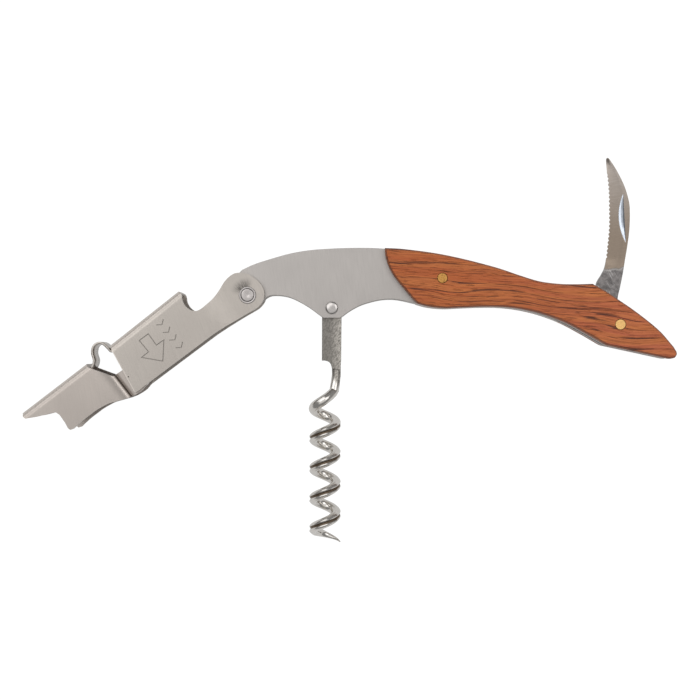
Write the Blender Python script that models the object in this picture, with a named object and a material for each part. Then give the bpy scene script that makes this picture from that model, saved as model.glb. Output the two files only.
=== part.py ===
"""Waiter's corkscrew: liners and wooden scales, a two-part bottle lever, a worm and a foil blade.

It lies flat, as on a table: X runs along the handle towards its tail, Y points up across the handle and
Z goes through its thickness. The origin is on the flat outer face of the back scale, in the middle of the
wood. Lengths below are in millimetres, and UNIT turns them into Blender's metres.
"""

import math

import bpy
from mathutils import Vector

UNIT = 0.001

# Thickness stack, each as distances from the middle plane of the handle.
MIDDLE = 5.9
GAP = 1.65
LINER = 1.2
SHEET = 1.1
RUN = 0.05
LINER_OUT = GAP + LINER
SCALE_IN = LINER_OUT + RUN
WASHER = 0.35
EAR_IN = LINER_OUT + WASHER + 2 * RUN
EAR_OUT = EAR_IN + SHEET
CHEEK_OUT = 5.7
LUG_OUT = CHEEK_OUT - SHEET - 2 * RUN
HEAD_HEIGHT = 0.5

# Joint axes, all along Z.
LEVER_AXIS = (-72.9, -0.5)
WORM_AXIS = (-50.3, -3.9)
BLADE_AXIS = (26.9, -8.4)
ELBOW_AXIS = (-102.2, -23.3)
SCALE_PIN_AT = (-20.7, 4.0)

LEVER_SHAFT = 1.65
WORM_SHAFT = 1.1
SCALE_SHAFT = 1.33
BLADE_SHAFT = 1.38
ELBOW_SHAFT = 1.3
SIDES = 32

# Direction of the lever's spine, from the foot towards the pivot, and a point on each spine's outer face.
LEVER_ANGLE = 38.4
FOOT_ANGLE = 37.5
LEVER_SPINE_AT = (-110.2, -14.3)
FOOT_SPINE_AT = (-116.2, -19.0)
BEND = 1.9
EAR_JOGGLE = (9.2, 4.0)
LUG_JOGGLE = (5.2, 3.7)

# Handle outline, as runs of points that smooth curves pass through, clockwise from the head's top left.
HEAD_TOP = [(-74.5, 6.4), (-71.2, 7.9), (-66.9, 9.3), (-61.5, 10.8), (-56.2, 11.7), (-50.7, 12.1),
            (-45.4, 12.3), (-40.0, 12.3), (-36.0, 12.1)]
WOOD_TOP = [(-36.0, 12.1), (-31.9, 11.9), (-26.6, 11.3), (-21.3, 10.5), (-16.0, 9.4), (-10.7, 8.1),
            (-5.3, 6.6), (0.0, 4.8), (5.3, 3.2), (10.7, 2.5), (15.2, 2.4), (19.6, 2.5)]
TAIL_TOP = [(22.8, 0.7), (26.0, -1.4), (31.5, -5.2), (37.3, -9.9), (41.2, -14.3)]
TAIL_TIP = [(42.0, -15.6), (42.1, -16.4), (41.5, -17.3), (40.2, -17.6)]
TAIL_CORNER = (23.6, -14.0)
WOOD_BOTTOM = [(22.9, -13.7), (17.9, -10.8), (12.4, -7.9), (6.9, -5.8), (1.4, -4.4), (-4.1, -3.7),
               (-9.6, -3.6), (-15.1, -3.8), (-20.0, -4.0), (-24.2, -3.6), (-27.3, -2.8)]
HEAD_BOTTOM = [(-27.3, -2.8), (-31.6, -1.8), (-34.5, -1.5), (-37.2, -1.7), (-39.9, -2.3), (-42.6, -3.2),
               (-45.4, -4.7), (-47.6, -6.3)]
WORM_LOBE = [(-48.1, -6.6), (-52.5, -6.6), (-53.0, -6.3)]
HEAD_NOSE = [(-53.0, -6.3), (-56.4, -3.8), (-59.1, -2.2), (-61.8, -1.0), (-64.6, -0.5), (-67.2, -0.7),
             (-69.4, -2.3), (-71.7, -4.4), (-74.4, -4.7), (-76.8, -2.9), (-77.6, 0.0), (-77.0, 3.6),
             (-74.5, 6.4)]
WOOD_START = [(-27.3, -2.8), (-28.8, -1.2), (-30.9, 1.3), (-33.4, 4.4), (-34.9, 7.1), (-35.8, 9.9),
              (-36.0, 12.1)]
SCALE_EDGE = [(0.0, 1.3), (0.35, 0.5), (1.1, 0.0)]

# Upper lever outline: the notch and the ear as one curve, then the straight open edge and the end.
LEVER_NOTCH = [(-91.6, 0.6), (-90.7, 0.0), (-90.4, -0.9), (-90.2, -2.1), (-89.4, -3.5), (-88.1, -4.5),
               (-86.7, -4.8), (-85.4, -4.3), (-83.9, -3.1), (-82.3, -1.6), (-80.7, 0.5), (-79.1, 3.1),
               (-77.5, 4.7), (-75.7, 5.5), (-73.0, 5.2), (-71.2, 4.2), (-69.6, 2.8), (-68.7, 1.3),
               (-68.4, -0.5), (-68.8, -2.1), (-70.1, -3.7), (-71.8, -4.8), (-73.4, -5.7)]
LEVER_OPEN_EDGE = [(-78.4, -8.7), (-81.8, -10.9), (-100.1, -24.6), (-101.9, -26.1), (-102.7, -26.6),
                   (-103.2, -26.2)]
LEVER_END = (-109.7, -14.2)
BEYOND_LEVER_SPINE = [(-110.7, -13.6), (-91.9, 1.3)]

# Foot outline: the tip, the step with its claw, the hollow lower edge, the lug at the elbow and the end.
FOOT_TIP = [(-133.1, -32.4), (-132.9, -33.1), (-132.2, -33.6)]
FOOT_STEP = [(-129.2, -33.1), (-125.2, -32.1), (-124.0, -31.9), (-123.0, -32.6), (-121.6, -34.6),
             (-120.8, -36.1), (-120.2, -36.6), (-119.3, -36.3)]
FOOT_LOWER = [(-118.4, -35.4), (-116.7, -33.9), (-115.0, -32.6), (-113.4, -31.4), (-111.7, -30.4),
              (-110.1, -29.6), (-108.4, -29.1), (-105.2, -28.2)]
LUG = [(-105.2, -28.2), (-103.3, -27.4), (-101.4, -26.2), (-100.3, -25.0), (-99.3, -23.6), (-99.3, -21.7),
       (-100.8, -19.9), (-103.3, -19.3), (-106.2, -20.5), (-108.9, -22.3)]
FOOT_END = (-115.4, -19.9)
BEYOND_FOOT_SPINE = [(-116.7, -18.4), (-134.2, -31.7)]

BLADE_OUTLINE = [(24.5, 37.0), (25.2, 36.3), (27.1, 33.3), (29.1, 29.2), (30.3, 25.1), (30.55, 21.8),
                 (30.4, 17.4), (29.9, 13.3), (29.3, 9.7), (28.6, 5.6), (27.9, 2.1), (27.2, -1.2),
                 (27.6, -3.1), (29.4, -4.9), (31.0, -7.1), (31.0, -9.7), (29.4, -11.8), (26.9, -12.6),
                 (24.3, -11.8), (22.7, -9.6), (21.8, -5.0), (21.3, -0.5), (21.6, 2.9), (23.0, 5.4),
                 (23.9, 7.7), (24.6, 13.6), (25.0, 18.3), (25.0, 22.7), (24.9, 27.7), (24.4, 33.5),
                 (24.2, 36.3)]
BLADE_HALF = 0.85

# Centre line of the leaf spring: inside the foot, round the loop, and inside the upper lever.
SPRING_PATH = [(-121.5, -25.3), (-118.3, -22.8), (-115.1, -20.4), (-114.4, -17.9), (-114.4, -15.8),
               (-113.8, -14.1), (-112.6, -13.4), (-111.3, -14.1), (-110.1, -15.7), (-108.5, -15.1),
               (-104.2, -11.65), (-99.8, -8.15)]
SPRING_SHEET = 0.5
SPRING_HALF_WIDTH = 3.7
SPRING_RIVET_AT = 10.5
SPRING_RIVET = 0.8
SPRING_RIVET_HEAD = 1.5

SPACER_DEPTH = 3.2
SPACER_START = (-69.0, 8.4)
SPACER_END = (-31.9, 11.8)
BLADE_SPRING_EDGE = [(11.0, -7.6), (6.9, -6.0), (1.4, -4.5), (-4.1, -3.8), (-9.6, -3.6), (-15.1, -3.8),
                     (-20.0, -4.0), (-24.2, -3.6), (-27.3, -2.8), (-30.5, -2.0)]
BLADE_SPRING_TIP = 1.3
BLADE_SPRING_DEPTH = 2.6
TAIL_SPACER = [(35.2, -9.1), (37.3, -10.6), (40.8, -14.5), (41.6, -16.2), (40.9, -17.1), (39.8, -17.3),
               (32.0, -15.6), (33.4, -12.4)]

WORM_EYE = 2.65
WORM_SHANK_HALF = 1.5
WORM_STEP = [(-53.0, -18.1), (-52.2, -18.1), (-51.2, -18.4), (-50.6, -19.1), (-50.25, -20.4),
             (-48.0, -20.6), (-47.8, -18.0)]
WORM_CENTRE_X = -52.2
WORM_OUTER = 4.4
WORM_WIRE = 1.4
WORM_NECK = 1.2
WORM_NECK_X = -49.1
WORM_NECK_Y = [-17.0, -20.0, -22.0]
WORM_PITCH = 8.15
WORM_STEPS = 20
WORM_TURNS = 4.95
WORM_START_Y = -27.1
WORM_LEAD_IN = 2.4
WORM_TAPER = 0.7

BUSH_OUTER = 3.8
LEVER_WASHER_OUTER = 3.8
BLADE_WASHER_OUTER = 3.2
WORM_RIVET_HEAD = 1.65
LEVER_RIVET_HEAD = 2.3
LEVER_RIVET_FACE = 1.7
ELBOW_RIVET_HEAD = 2.1
ELBOW_RIVET_HEAD_HEIGHT = 0.4
HEAD_LIFT = 0.02
REACH = 8.0


def clear_scene():
    for obj in list(bpy.data.objects):
        bpy.data.objects.remove(obj)


def spline(points, steps=3):
    """A smooth open curve through the points, from the first to the last."""
    points = [Vector(point) for point in points]
    ends = [2 * points[0] - points[1]] + points + [2 * points[-1] - points[-2]]
    curve = []
    for before, start, stop, after in zip(ends, ends[1:], ends[2:], ends[3:]):
        for step in range(steps):
            t = step / steps
            curve.append(0.5 * (2 * start + (stop - before) * t
                                + (2 * before - 5 * start + 4 * stop - after) * t ** 2
                                + (3 * start - before - 3 * stop + after) * t ** 3))
    return curve + [points[-1]]


def arc(centre, radius, start, stop, steps):
    """Points on a circle, from one angle to the other in degrees."""
    angles = [math.radians(start + (stop - start) * step / steps) for step in range(steps + 1)]
    return [Vector((centre[0] + radius * math.cos(angle), centre[1] + radius * math.sin(angle)))
            for angle in angles]


def direction(degrees):
    return Vector((math.cos(math.radians(degrees)), math.sin(math.radians(degrees))))


def joined(*runs):
    """One closed outline from several runs of points, without the points that repeat."""
    outline = []
    for point in (Vector(point) for run in runs for point in run):
        if not outline or (point - outline[-1]).length > 0.05:
            outline.append(point)
    if (outline[0] - outline[-1]).length < 0.05:
        outline.pop()
    area = sum(a.x * b.y - b.x * a.y for a, b in zip(outline, outline[1:] + outline[:1]))
    return outline if area > 0 else outline[::-1]


def inset(outline, distance):
    """The outline moved inwards, point by point, along the mean of its two edges' normals."""
    moved = []
    for before, point, after in zip(outline[-1:] + outline[:-1], outline, outline[1:] + outline[:1]):
        along = (point - before).normalized() + (after - point).normalized()
        moved.append(point + distance * Vector((-along.y, along.x)).normalized())
    return moved


def material(name, colour, metallic, roughness):
    made = bpy.data.materials.new(name)
    made.use_nodes = True
    shader = made.node_tree.nodes["Principled BSDF"]
    shader.inputs["Base Color"].default_value = (*colour, 1.0)
    shader.inputs["Metallic"].default_value = metallic
    shader.inputs["Roughness"].default_value = roughness
    return made


def body(name, axis=(0.0, 0.0), parent=None):
    """An empty on a joint's axis, which carries the pieces that turn about it."""
    empty = bpy.data.objects.new(name, None)
    bpy.context.scene.collection.objects.link(empty)
    start = Vector((*parent["axis"], 0.0)) if parent else Vector((0.0, 0.0, 0.0))
    empty.parent = parent
    empty.location = (Vector((*axis, 0.0)) - start) * UNIT
    empty["axis"] = axis
    return empty


def build(name, points, faces, parent, finish=None):
    """A mesh object from points in millimetres, with its origin on its parent's axis."""
    origin = Vector((*parent["axis"], 0.0))
    mesh = bpy.data.meshes.new(name)
    mesh.from_pydata([(Vector(point) - origin) * UNIT for point in points], [], faces)
    mesh.validate()
    mesh.shade_smooth()
    mesh.set_sharp_from_angle(angle=math.radians(35))
    obj = bpy.data.objects.new(name, mesh)
    bpy.context.scene.collection.objects.link(obj)
    obj.parent = parent
    if finish:
        mesh.materials.append(finish)
    return obj


def loft(loops):
    """Points and faces of a closed solid between loops of equal length, capped at both ends."""
    size = len(loops[0])
    points = [point for loop in loops for point in loop]
    faces = []
    for row in range(len(loops) - 1):
        for column in range(size):
            here = row * size + column
            right = row * size + (column + 1) % size
            faces.append((here, right, right + size, here + size))
    faces.append(tuple(reversed(range(size))))
    faces.append(tuple(range(len(points) - size, len(points))))
    return points, faces


def at_height(outline, height):
    return [(point[0], point[1], MIDDLE + height) for point in outline]


def prism(name, outline, low, high, parent, finish=None):
    return build(name, *loft([at_height(outline, low), at_height(outline, high)]), parent, finish)


def turned(name, centre, profile, parent, finish):
    """A solid of revolution about Z from (height, radius) pairs, lowest first."""
    return build(name, *loft([at_height(arc(centre, radius, 0, 360, SIDES)[:-1], height)
                              for height, radius in profile]), parent, finish)


def ring(name, centre, inner, outer, low, high, parent, finish):
    """A washer or bush: an outer and an inner wall, closed into one loop of faces."""
    walls = [(inner, low), (outer, low), (outer, high), (inner, high)]
    loops = [at_height(arc(centre, radius, 0, 360, SIDES)[:-1], height) for radius, height in walls]
    points = [point for loop in loops for point in loop]
    faces = []
    for row in range(4):
        for column in range(SIDES):
            nearer = (column + 1) % SIDES
            other = (row + 1) % 4
            faces.append((row * SIDES + column, other * SIDES + column,
                          other * SIDES + nearer, row * SIDES + nearer))
    return build(name, points, [face[::-1] for face in faces], parent, finish)


def cutter(obj):
    obj.hide_render = True
    obj.display_type = "WIRE"
    return obj


def combine(obj, tool, operation):
    step = obj.modifiers.new(tool.name, "BOOLEAN")
    step.operation = operation
    step.object = cutter(tool)
    return obj


def bores(name, places, parent):
    """Round cutters through the whole thickness, one at each (centre, radius)."""
    points = []
    faces = []
    for centre, radius in places:
        circle = arc(centre, radius, 0, 360, SIDES)[:-1]
        more_points, more_faces = loft([at_height(circle, -REACH), at_height(circle, REACH)])
        faces += [tuple(index + len(points) for index in face) for face in more_faces]
        points += more_points
    return cutter(build(name, points, faces, parent))


def tube(path, radii, sides):
    """Points and faces of a round bar along a path in space, with its own radius at each point."""
    path = [Vector(point) for point in path]
    across = Vector((0.0, 0.0, 1.0))
    loops = []
    for index, point in enumerate(path):
        ahead = path[min(index + 1, len(path) - 1)]
        behind = path[max(index - 1, 0)]
        along = (ahead - behind).normalized()
        across = (across - across.dot(along) * along).normalized()
        third = along.cross(across)
        angles = [2 * math.pi * side / sides for side in range(sides)]
        loops.append([point + radii[index] * (math.cos(angle) * across + math.sin(angle) * third)
                      for angle in angles])
    return loft(loops)


def channel(name, spine_at, angle, sections, depth, outline, parent, finish):
    """A folded sheet channel cut to an outline: each section is (distance along the spine, half width)."""
    along = direction(angle)
    inwards = Vector((along.y, -along.x))
    start = Vector(spine_at)
    loops = []
    for distance, half_width in sections:
        outer = [(depth, half_width)]
        inner = [(depth, half_width - SHEET)]
        for step in range(5):
            turn = math.radians(22.5 * step)
            reach_in = 1 - math.sin(turn)
            reach_out = 1 - math.cos(turn)
            outer.append((BEND * reach_in, half_width - BEND * reach_out))
            inner.append((SHEET + (BEND - SHEET) * reach_in, half_width - SHEET - (BEND - SHEET) * reach_out))
        half = outer + [(deep, -across) for deep, across in reversed(outer)]
        half += [(deep, -across) for deep, across in inner] + list(reversed(inner))
        here = start + distance * along
        loops.append([(*(here + deep * inwards), MIDDLE + across) for deep, across in half])
    points, faces = loft(loops)
    made = build(name, points, [face[::-1] for face in faces], parent, finish)
    shape = prism(name + "_outline", outline, -REACH, REACH, parent)
    return combine(made, shape, "INTERSECT")


def handle_outline():
    return joined(spline(HEAD_TOP), spline(WOOD_TOP), spline(TAIL_TOP), spline(TAIL_TIP), [TAIL_CORNER],
                  spline(WOOD_BOTTOM), spline(HEAD_BOTTOM), WORM_LOBE, spline(HEAD_NOSE))


def scale_outline():
    return joined(spline(WOOD_TOP), spline(TAIL_TOP), spline(TAIL_TIP), [TAIL_CORNER], spline(WOOD_BOTTOM),
                  spline(WOOD_START))


def liners(handle, steel, holes):
    outline = handle_outline()
    for name, low, high in (("front_liner", GAP, LINER_OUT), ("back_liner", -LINER_OUT, -GAP)):
        combine(prism(name, outline, low, high, handle, steel), holes, "DIFFERENCE")


def scales(handle, wood, holes):
    """Wooden scales with a softened outer edge: (inset, distance from the middle plane) for each layer."""
    outline = scale_outline()
    layers = [(0.0, SCALE_IN)] + [(edge, MIDDLE - drop) for edge, drop in SCALE_EDGE]
    for name, side in (("front_scale", 1), ("back_scale", -1)):
        loops = [at_height(inset(outline, edge), side * height) for edge, height in layers]
        made = build(name, *loft(loops[::side]), handle, wood)
        combine(made, holes, "DIFFERENCE")


def head_spacer(handle, steel):
    """The bar that holds the liners apart along the top of the head."""
    top = spline([SPACER_START] + HEAD_TOP[2:] + [SPACER_END])
    bottom = [point - Vector((0.0, SPACER_DEPTH)) for point in reversed(top)]
    shape = inset(joined(top, bottom), 2 * RUN)
    prism("head_spacer", joined(shape), RUN - GAP, GAP - RUN, handle, steel)


def blade_spring(handle, steel):
    """The back spring along the bottom edge, whose free end bears towards the blade's tang."""
    edge = spline(BLADE_SPRING_EDGE)
    thicken = BLADE_SPRING_DEPTH - BLADE_SPRING_TIP
    depths = [BLADE_SPRING_TIP + thicken * min(1.0, 2.5 * index / len(edge)) for index in range(len(edge))]
    inner = [point + Vector((0.0, deep)) for point, deep in zip(edge, depths)]
    shape = inset(joined(edge, reversed(inner)), RUN)
    prism("blade_spring", joined(shape), RUN - GAP, GAP - RUN, handle, steel)


def tail_spacer(handle, steel):
    prism("tail_spacer", joined(TAIL_SPACER), RUN - GAP, GAP - RUN, handle, steel)


def domed_rivet(name, centre, shaft, head, clamp, parent, finish):
    """A rivet with a low domed head on each side of what it clamps."""
    start = clamp + HEAD_LIFT
    dome = [(start, head), (clamp + 0.4 * HEAD_HEIGHT, 0.92 * head), (clamp + HEAD_HEIGHT, 0.5 * head)]
    profile = [(-height, radius) for height, radius in reversed(dome)]
    turned(name, centre, profile + [(-start, shaft), (start, shaft)] + dome, parent, finish)


def handle_pins(handle, steel, brass):
    domed_rivet("worm_rivet", WORM_AXIS, WORM_SHAFT, WORM_RIVET_HEAD, LINER_OUT, handle, steel)
    turned("scale_pin", SCALE_PIN_AT, [(-MIDDLE, SCALE_SHAFT), (MIDDLE, SCALE_SHAFT)], handle, brass)
    turned("blade_pin", BLADE_AXIS, [(-MIDDLE, BLADE_SHAFT), (MIDDLE, BLADE_SHAFT)], handle, brass)
    for name, side in (("blade_washer_front", 1), ("blade_washer_back", -1)):
        low, high = sorted((side * (BLADE_HALF + RUN), side * (GAP - RUN)))
        ring(name, BLADE_AXIS, BLADE_SHAFT + RUN, BLADE_WASHER_OUTER, low, high, handle, brass)


def lever_pivot(parent, steel):
    """The lever's rivet with a flat turned head on each ear, its bush between the liners and its washers."""
    start = EAR_OUT + HEAD_LIFT
    head = [(start, LEVER_RIVET_HEAD), (EAR_OUT + 0.6 * HEAD_HEIGHT, 0.95 * LEVER_RIVET_HEAD),
            (EAR_OUT + HEAD_HEIGHT, LEVER_RIVET_FACE)]
    profile = [(-height, radius) for height, radius in reversed(head)]
    shaft = [(-start, LEVER_SHAFT), (start, LEVER_SHAFT)]
    turned("lever_rivet", LEVER_AXIS, profile + shaft + head, parent, steel)
    ring("lever_bush", LEVER_AXIS, LEVER_SHAFT + RUN, BUSH_OUTER, RUN - GAP, GAP - RUN, parent, steel)
    for name, side in (("lever_washer_front", 1), ("lever_washer_back", -1)):
        low, high = sorted((side * (LINER_OUT + RUN), side * (EAR_IN - RUN)))
        ring(name, LEVER_AXIS, LEVER_SHAFT + RUN, LEVER_WASHER_OUTER, low, high, parent, steel)


def upper_lever(parent, steel):
    outline = joined(spline(LEVER_NOTCH), LEVER_OPEN_EDGE, [LEVER_END], BEYOND_LEVER_SPINE)
    axis = (Vector(LEVER_AXIS) - Vector(LEVER_SPINE_AT)).dot(direction(LEVER_ANGLE))
    drop = CHEEK_OUT - EAR_OUT
    sections = [(-3.0, CHEEK_OUT), (axis - EAR_JOGGLE[0], CHEEK_OUT)]
    sections += [(axis + (share - 1) * EAR_JOGGLE[0] - share * EAR_JOGGLE[1], CHEEK_OUT - drop * fall)
                 for share, fall in ((0.3, 0.2), (0.7, 0.8), (1.0, 1.0))]
    sections.append((50.0, EAR_OUT))
    lever = channel("upper_lever", LEVER_SPINE_AT, LEVER_ANGLE, sections, 26.0, outline, parent, steel)
    places = [(LEVER_AXIS, LEVER_SHAFT + RUN), (ELBOW_AXIS, ELBOW_SHAFT + RUN)]
    combine(lever, bores("upper_lever_holes", places, parent), "DIFFERENCE")
    combine(lever, rivet_hole("spine_hole", parent), "DIFFERENCE")


def rivet_place():
    """The axis of the small rivet that holds the leaf spring to the upper lever's spine."""
    along = direction(LEVER_ANGLE)
    return Vector(LEVER_SPINE_AT) + SPRING_RIVET_AT * along, Vector((along.y, -along.x))


def across_bar(name, radius_by_depth, parent, finish=None):
    """A round bar through the spine: (depth below its outer face, radius) pairs."""
    start, inwards = rivet_place()
    path = [(*(start + depth * inwards), MIDDLE) for depth, _ in radius_by_depth]
    return build(name, *tube(path, [radius for _, radius in radius_by_depth], 16), parent, finish)


def rivet_hole(name, parent):
    radius = SPRING_RIVET + RUN
    return cutter(across_bar(name, [(-BEND, radius), (2 * BEND, radius)], parent))


def elbow_rivets(parent, steel):
    """Two stub rivets, one in each cheek, so that the space between the lugs stays free for the worm."""
    for name, side in (("elbow_rivet_front", 1), ("elbow_rivet_back", -1)):
        inner = LUG_OUT - SHEET - 2 * RUN
        profile = [(inner - ELBOW_RIVET_HEAD_HEIGHT, ELBOW_RIVET_HEAD), (inner, ELBOW_RIVET_HEAD),
                   (inner + HEAD_LIFT, ELBOW_SHAFT), (CHEEK_OUT, ELBOW_SHAFT)]
        if side < 0:
            profile = [(-height, radius) for height, radius in reversed(profile)]
        turned(name, ELBOW_AXIS, profile, parent, steel)


def leaf_spring(parent, steel):
    path = spline(SPRING_PATH)
    loops = []
    for index, point in enumerate(path):
        ahead = path[min(index + 1, len(path) - 1)]
        behind = path[max(index - 1, 0)]
        along = (ahead - behind).normalized()
        side = Vector((-along.y, along.x)) * SPRING_SHEET / 2
        corners = [(point + side, 1), (point - side, 1), (point - side, -1), (point + side, -1)]
        loops.append([(*place, MIDDLE + end * SPRING_HALF_WIDTH) for place, end in corners])
    strip = build("leaf_spring", *loft(loops), parent, steel)
    combine(strip, rivet_hole("leaf_spring_hole", parent), "DIFFERENCE")


def spring_rivet(parent, steel):
    under = SHEET + SPRING_SHEET + 7 * RUN
    profile = [(0.0, SPRING_RIVET), (under, SPRING_RIVET), (under + HEAD_LIFT, SPRING_RIVET_HEAD),
               (under + HEAD_HEIGHT, 0.7 * SPRING_RIVET_HEAD)]
    across_bar("spring_rivet", profile, parent, steel)


def lower_lever(parent, steel):
    outline = joined(BEYOND_FOOT_SPINE, spline(FOOT_TIP), FOOT_STEP, spline(FOOT_LOWER), spline(LUG),
                     [FOOT_END])
    elbow = (Vector(ELBOW_AXIS) - Vector(FOOT_SPINE_AT)).dot(direction(FOOT_ANGLE))
    sections = [(-24.0, CHEEK_OUT), (elbow - LUG_JOGGLE[0], CHEEK_OUT), (elbow - LUG_JOGGLE[1], LUG_OUT),
                (24.0, LUG_OUT)]
    foot = channel("lower_lever", FOOT_SPINE_AT, FOOT_ANGLE, sections, 22.0, outline, parent, steel)
    combine(foot, bores("lower_lever_hole", [(ELBOW_AXIS, ELBOW_SHAFT + RUN)], parent), "DIFFERENCE")


def worm_path():
    """Centre line and radius of the wire: a straight neck, the helix and a taper to the point."""
    path = [(WORM_NECK_X, height, MIDDLE) for height in WORM_NECK_Y]
    radii = [WORM_NECK - 0.1, WORM_NECK - 0.02, WORM_NECK]
    for step in range(2, round(WORM_TURNS * WORM_STEPS) + 1):
        turn = step / WORM_STEPS
        angle = 2 * math.pi * turn
        lead = WORM_LEAD_IN * max(0.0, 1 - 2 * turn) ** 2
        thin = min(1.0, 0.12 + (WORM_TURNS - turn) / WORM_TAPER)
        swell = min(1.0, 0.9 + 0.3 * turn)
        radii.append(WORM_WIRE * thin * swell)
        reach = WORM_OUTER - WORM_WIRE * thin
        path.append((WORM_CENTRE_X + reach * math.cos(angle), WORM_START_Y + lead - WORM_PITCH * turn,
                     MIDDLE + reach * math.sin(angle) * min(1.0, 4 * turn)))
    return path, radii


def worm(parent, steel):
    eye = arc(WORM_AXIS, WORM_EYE, 0, 180, 12)
    shank = prism("worm", joined(eye, WORM_STEP), -WORM_SHANK_HALF, WORM_SHANK_HALF, parent, steel)
    path, radii = worm_path()
    wire = build("worm_wire", *tube(path, radii, 10), parent)
    combine(shank, wire, "UNION")
    combine(shank, bores("worm_hole", [(WORM_AXIS, WORM_SHAFT + RUN)], parent), "DIFFERENCE")


def blade(parent, steel):
    made = prism("blade", joined(spline(BLADE_OUTLINE, 2)), -BLADE_HALF, BLADE_HALF, parent, steel)
    combine(made, bores("blade_hole", [(BLADE_AXIS, BLADE_SHAFT + RUN)], parent), "DIFFERENCE")


def main():
    clear_scene()
    plate = material("brushed_steel", (0.52, 0.50, 0.47), 1.0, 0.32)
    bright = material("polished_steel", (0.62, 0.61, 0.60), 1.0, 0.15)
    wood = material("red_wood", (0.33, 0.12, 0.05), 0.0, 0.45)
    brass = material("brass", (0.78, 0.57, 0.25), 1.0, 0.25)

    handle = body("handle")
    pivot = body("lever_pivot", LEVER_AXIS, handle)
    upper = body("upper", LEVER_AXIS, pivot)
    lower = body("lower", ELBOW_AXIS, upper)
    worm_body = body("worm_body", WORM_AXIS, handle)
    blade_body = body("blade_body", BLADE_AXIS, handle)

    places = [(LEVER_AXIS, LEVER_SHAFT + RUN), (WORM_AXIS, WORM_SHAFT + RUN),
              (SCALE_PIN_AT, SCALE_SHAFT + RUN), (BLADE_AXIS, BLADE_SHAFT + RUN)]
    holes = bores("handle_holes", places, handle)
    liners(handle, plate, holes)
    scales(handle, wood, holes)
    head_spacer(handle, plate)
    blade_spring(handle, plate)
    tail_spacer(handle, plate)
    handle_pins(handle, bright, brass)
    lever_pivot(pivot, bright)
    upper_lever(upper, plate)
    elbow_rivets(upper, bright)
    leaf_spring(upper, bright)
    spring_rivet(upper, bright)
    lower_lever(lower, plate)
    worm(worm_body, bright)
    blade(blade_body, bright)


main()
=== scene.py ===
"""Looks of a waiter's corkscrew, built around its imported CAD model.

Every piece is made where the frame has it, with lengths in millimetres until `build` turns them into
metres. A piece rides on its CAD body and stands for the plainer CAD nodes that it names. The nodes whose
shape is already right stay, and only get a better material.
"""

import math

import bmesh
import bpy
import numpy as np
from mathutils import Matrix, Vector


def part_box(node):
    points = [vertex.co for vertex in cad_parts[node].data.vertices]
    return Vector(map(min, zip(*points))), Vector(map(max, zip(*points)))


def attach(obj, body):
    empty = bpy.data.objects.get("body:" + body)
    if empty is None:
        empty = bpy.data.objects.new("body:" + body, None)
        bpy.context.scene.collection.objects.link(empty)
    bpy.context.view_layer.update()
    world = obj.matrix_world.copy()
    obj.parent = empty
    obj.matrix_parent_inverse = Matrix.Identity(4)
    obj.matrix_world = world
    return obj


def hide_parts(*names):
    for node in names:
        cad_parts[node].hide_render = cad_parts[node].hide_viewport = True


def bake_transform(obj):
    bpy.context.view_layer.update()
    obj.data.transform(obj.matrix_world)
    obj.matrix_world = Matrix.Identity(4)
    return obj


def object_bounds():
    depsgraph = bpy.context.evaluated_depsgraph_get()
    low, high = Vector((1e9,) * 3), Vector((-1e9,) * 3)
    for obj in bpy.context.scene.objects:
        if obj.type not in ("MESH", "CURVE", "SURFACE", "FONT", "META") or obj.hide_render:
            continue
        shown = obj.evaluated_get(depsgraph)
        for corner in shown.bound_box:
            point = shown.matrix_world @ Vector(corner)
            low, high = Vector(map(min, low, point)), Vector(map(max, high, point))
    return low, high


UNIT = 0.001

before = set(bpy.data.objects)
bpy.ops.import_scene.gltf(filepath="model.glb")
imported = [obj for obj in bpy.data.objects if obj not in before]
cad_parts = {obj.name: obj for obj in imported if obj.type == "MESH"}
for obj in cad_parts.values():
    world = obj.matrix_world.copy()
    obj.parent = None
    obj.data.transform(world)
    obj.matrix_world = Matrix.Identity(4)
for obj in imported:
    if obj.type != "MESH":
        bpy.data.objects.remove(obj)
cad_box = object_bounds()


def low_of(node):
    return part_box(node)[0] / UNIT


def high_of(node):
    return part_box(node)[1] / UNIT


def centre_of(node):
    return (low_of(node) + high_of(node)) / 2


# Joint axes and the thickness stack, from the frame. Heights are distances from the middle.
MIDDLE = centre_of("scale_pin").z
FACE = high_of("scale_pin").z - MIDDLE
LEVER_AXIS = centre_of("lever_rivet").xy
WORM_AXIS = centre_of("worm_rivet").xy
BLADE_AXIS = centre_of("blade_pin").xy
ELBOW_AXIS = centre_of("elbow_rivet_front").xy
SCALE_PIN_AT = centre_of("scale_pin").xy
GAP = low_of("front_liner").z - MIDDLE
LINER_OUT = high_of("front_liner").z - MIDDLE
SCALE_IN = low_of("front_scale").z - MIDDLE
CHEEK_OUT = high_of("upper_lever").z - MIDDLE
RIVET_TOP = high_of("lever_rivet").z - MIDDLE
SHEET = 1.1
RUN = 0.05
RIVET_RISE = 0.5
EAR_OUT = RIVET_TOP - RIVET_RISE
LUG_OUT = CHEEK_OUT - SHEET - 2 * RUN

# Radii of the shafts.
LEVER_SHAFT = 1.65
WORM_SHAFT = 1.1
SCALE_SHAFT = 1.33
BLADE_SHAFT = 1.38
ELBOW_SHAFT = 1.3

# Steps in round shapes, and the angles in degrees from which an edge is shaded sharp or is a cut corner.
SIDES = 72
CURVE_STEPS = 8
RIM_STEPS = 3
EASED_STEPS = 2
SHARP_ANGLE = 35
CORNER_ANGLE = 50

# Distances under which points count as one, and the limits to moving an outline inwards.
SAME_POINT = 0.002
SAME_CORNER = 0.05
STEEPEST_MITRE = 0.3
KEPT_SHARE = 0.97

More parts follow.
